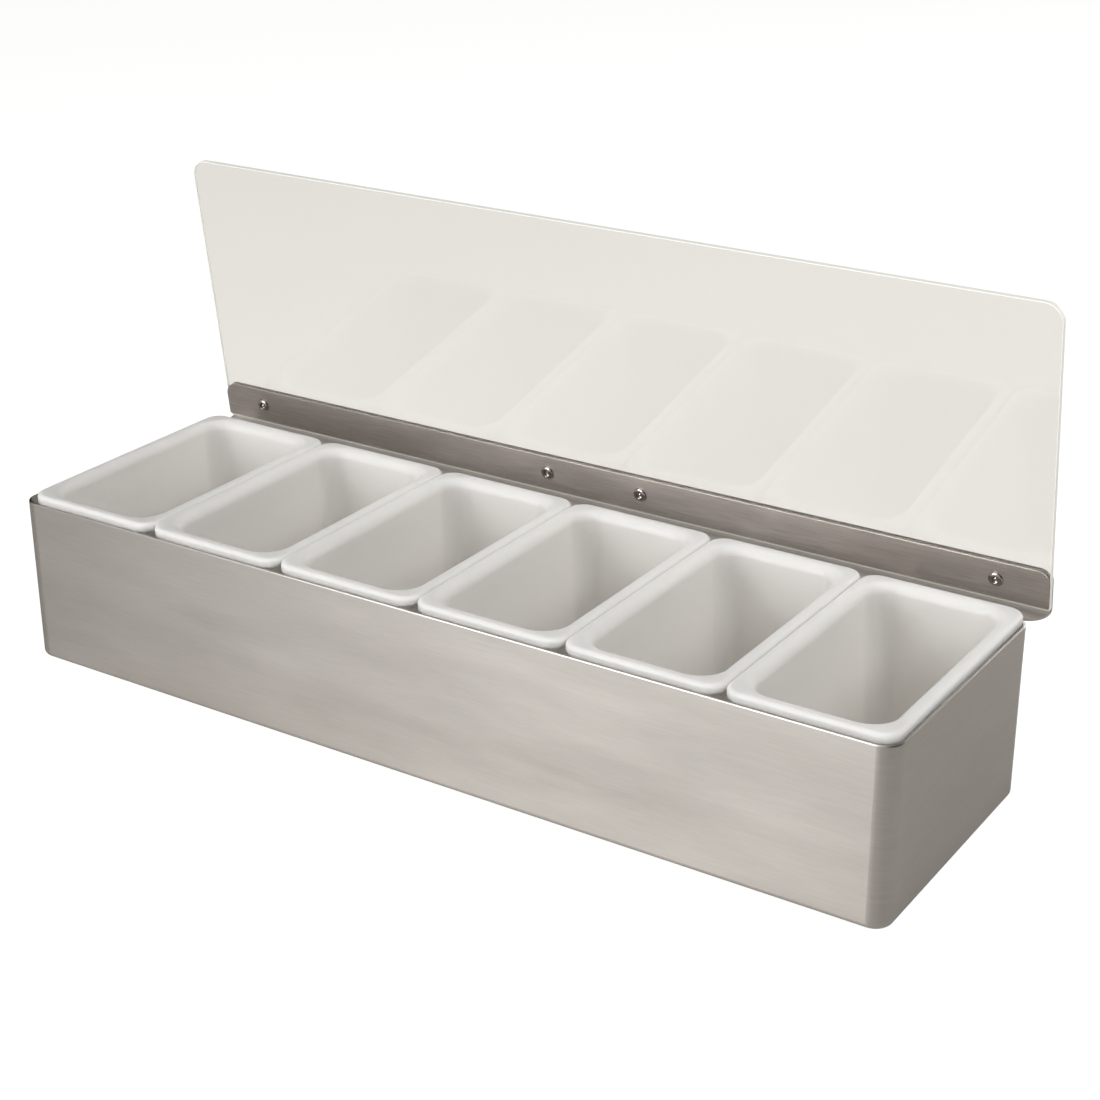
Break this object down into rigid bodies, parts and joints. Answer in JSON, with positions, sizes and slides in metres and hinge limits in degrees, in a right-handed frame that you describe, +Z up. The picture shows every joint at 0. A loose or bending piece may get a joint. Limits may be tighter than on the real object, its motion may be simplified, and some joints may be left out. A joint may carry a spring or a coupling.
{
  "type": "condiment caddy",
  "caption": "Long brushed steel caddy holding a row of lift-out plastic inserts under one clear lid hinged along the rear edge.",
  "frame": {"origin": "centre of the flat underside of the steel box", "axes": "+X along the row of inserts, +Y towards the hinged rear edge, +Z up"},
  "size_m": [0.4912, 0.1689, 0.2358],
  "materials": {
    "box_steel": "horizontally brushed stainless steel",
    "lid_steel": "lengthwise brushed stainless steel",
    "hinge_steel": "plain stainless steel",
    "rivet_steel": "bright stainless rivet",
    "insert_plastic": "natural white polypropylene, satin",
    "clear_sheet": "clear acrylic sheet, polished"
  },
  "bodies": {
    "box": {"box_shell": "box_steel", "hinge_left_fixed_leaf": "hinge_steel", "hinge_right_fixed_leaf": "hinge_steel", "hinge_left_pin": "hinge_steel", "hinge_right_pin": "hinge_steel", "hinge_rivets": "rivet_steel"},
    "lid": {"lid_sheet": "clear_sheet", "lid_strip": "lid_steel", "lid_angle": "lid_steel", "lid_rivets": "rivet_steel", "hinge_left_moving_leaf": "hinge_steel", "hinge_right_moving_leaf": "hinge_steel"},
    "pot_1": {"pot_1": "insert_plastic"},
    "pot_2": {"pot_2": "insert_plastic"},
    "pot_3": {"pot_3": "insert_plastic"},
    "pot_4": {"pot_4": "insert_plastic"},
    "pot_5": {"pot_5": "insert_plastic"},
    "pot_6": {"pot_6": "insert_plastic"}
  },
  "joints": [
    {"name": "lid_hinge", "type": "hinge", "parent": "box", "child": "lid", "pos_m": [0, 0.07575, 0.078], "axis": [-1, 0, 0], "range_deg": [-83.78, 0]},
    {"name": "pot_1_lift", "type": "slide", "parent": "box", "child": "pot_1", "axis": [0, 0, 1], "range_m": [0, 0.0932]},
    {"name": "pot_2_lift", "type": "slide", "parent": "box", "child": "pot_2", "axis": [0, 0, 1], "range_m": [0, 0.0932]},
    {"name": "pot_3_lift", "type": "slide", "parent": "box", "child": "pot_3", "axis": [0, 0, 1], "range_m": [0, 0.0932]},
    {"name": "pot_4_lift", "type": "slide", "parent": "box", "child": "pot_4", "axis": [0, 0, 1], "range_m": [0, 0.0932]},
    {"name": "pot_5_lift", "type": "slide", "parent": "box", "child": "pot_5", "axis": [0, 0, 1], "range_m": [0, 0.0932]},
    {"name": "pot_6_lift", "type": "slide", "parent": "box", "child": "pot_6", "axis": [0, 0, 1], "range_m": [0, 0.0932]}
  ]
}
